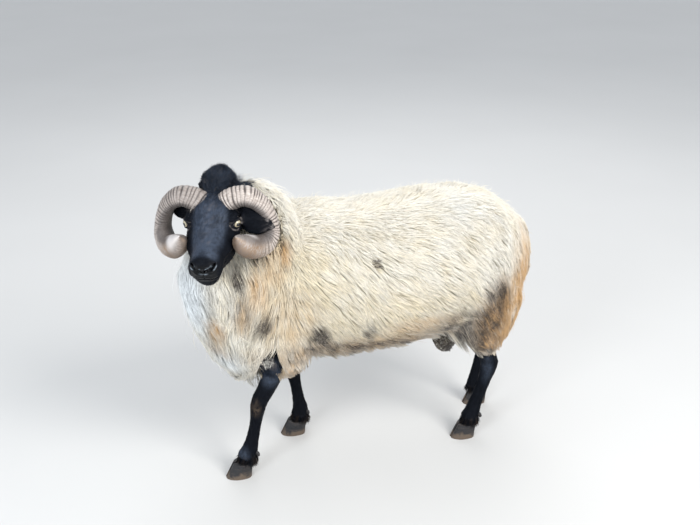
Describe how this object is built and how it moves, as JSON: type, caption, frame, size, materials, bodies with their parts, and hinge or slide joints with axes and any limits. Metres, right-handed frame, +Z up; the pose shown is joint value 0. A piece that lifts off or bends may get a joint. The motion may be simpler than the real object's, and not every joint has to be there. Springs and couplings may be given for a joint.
{
  "type": "sheep",
  "caption": "Life-size still model of a blackfaced horned hill ram in full fleece, standing with its head turned to its left and its horns curled round its ears.",
  "frame": {"origin": "on the floor, under the middle of the animal's bounding box", "axes": "+X forward along the trunk, +Y to the animal's left, +Z up"},
  "size_m": [0.999, 0.477, 0.8377],
  "materials": {
    "fleece": "cream-white shaggy wool, stained tan on the rump and grey-brown at the hems",
    "dark_wool": "black to dark grey-brown soft wool",
    "black_hair": "short glossy black hair with a bluish sheen",
    "horn": "ridged keratin, pinkish grey to amber",
    "hoof": "worn dark keratin with dried mud",
    "eye": "wet pale iris with a level dark pupil"
  },
  "bodies": {
    "root": {"ear_left": "black_hair", "ear_right": "black_hair", "eye_left": "eye", "eye_right": "eye", "fore_claw_left_inner": "hoof", "fore_claw_left_outer": "hoof", "fore_claw_right_inner": "hoof", "fore_claw_right_outer": "hoof", "fore_shank_left": "black_hair", "fore_shank_right": "black_hair", "fore_upper_left": "fleece", "fore_upper_right": "fleece", "head": "black_hair", "hind_claw_left_inner": "hoof", "hind_claw_left_outer": "hoof", "hind_claw_right_inner": "hoof", "hind_claw_right_outer": "hoof", "hind_shank_left": "black_hair", "hind_shank_right": "black_hair", "hind_upper_left": "fleece", "hind_upper_right": "fleece", "horn_left": "horn", "horn_right": "horn", "jaw": "black_hair", "neck": "fleece", "scrotum": "dark_wool", "tail": "fleece", "topknot": "dark_wool", "trunk": "fleece"}
  },
  "joints": []
}
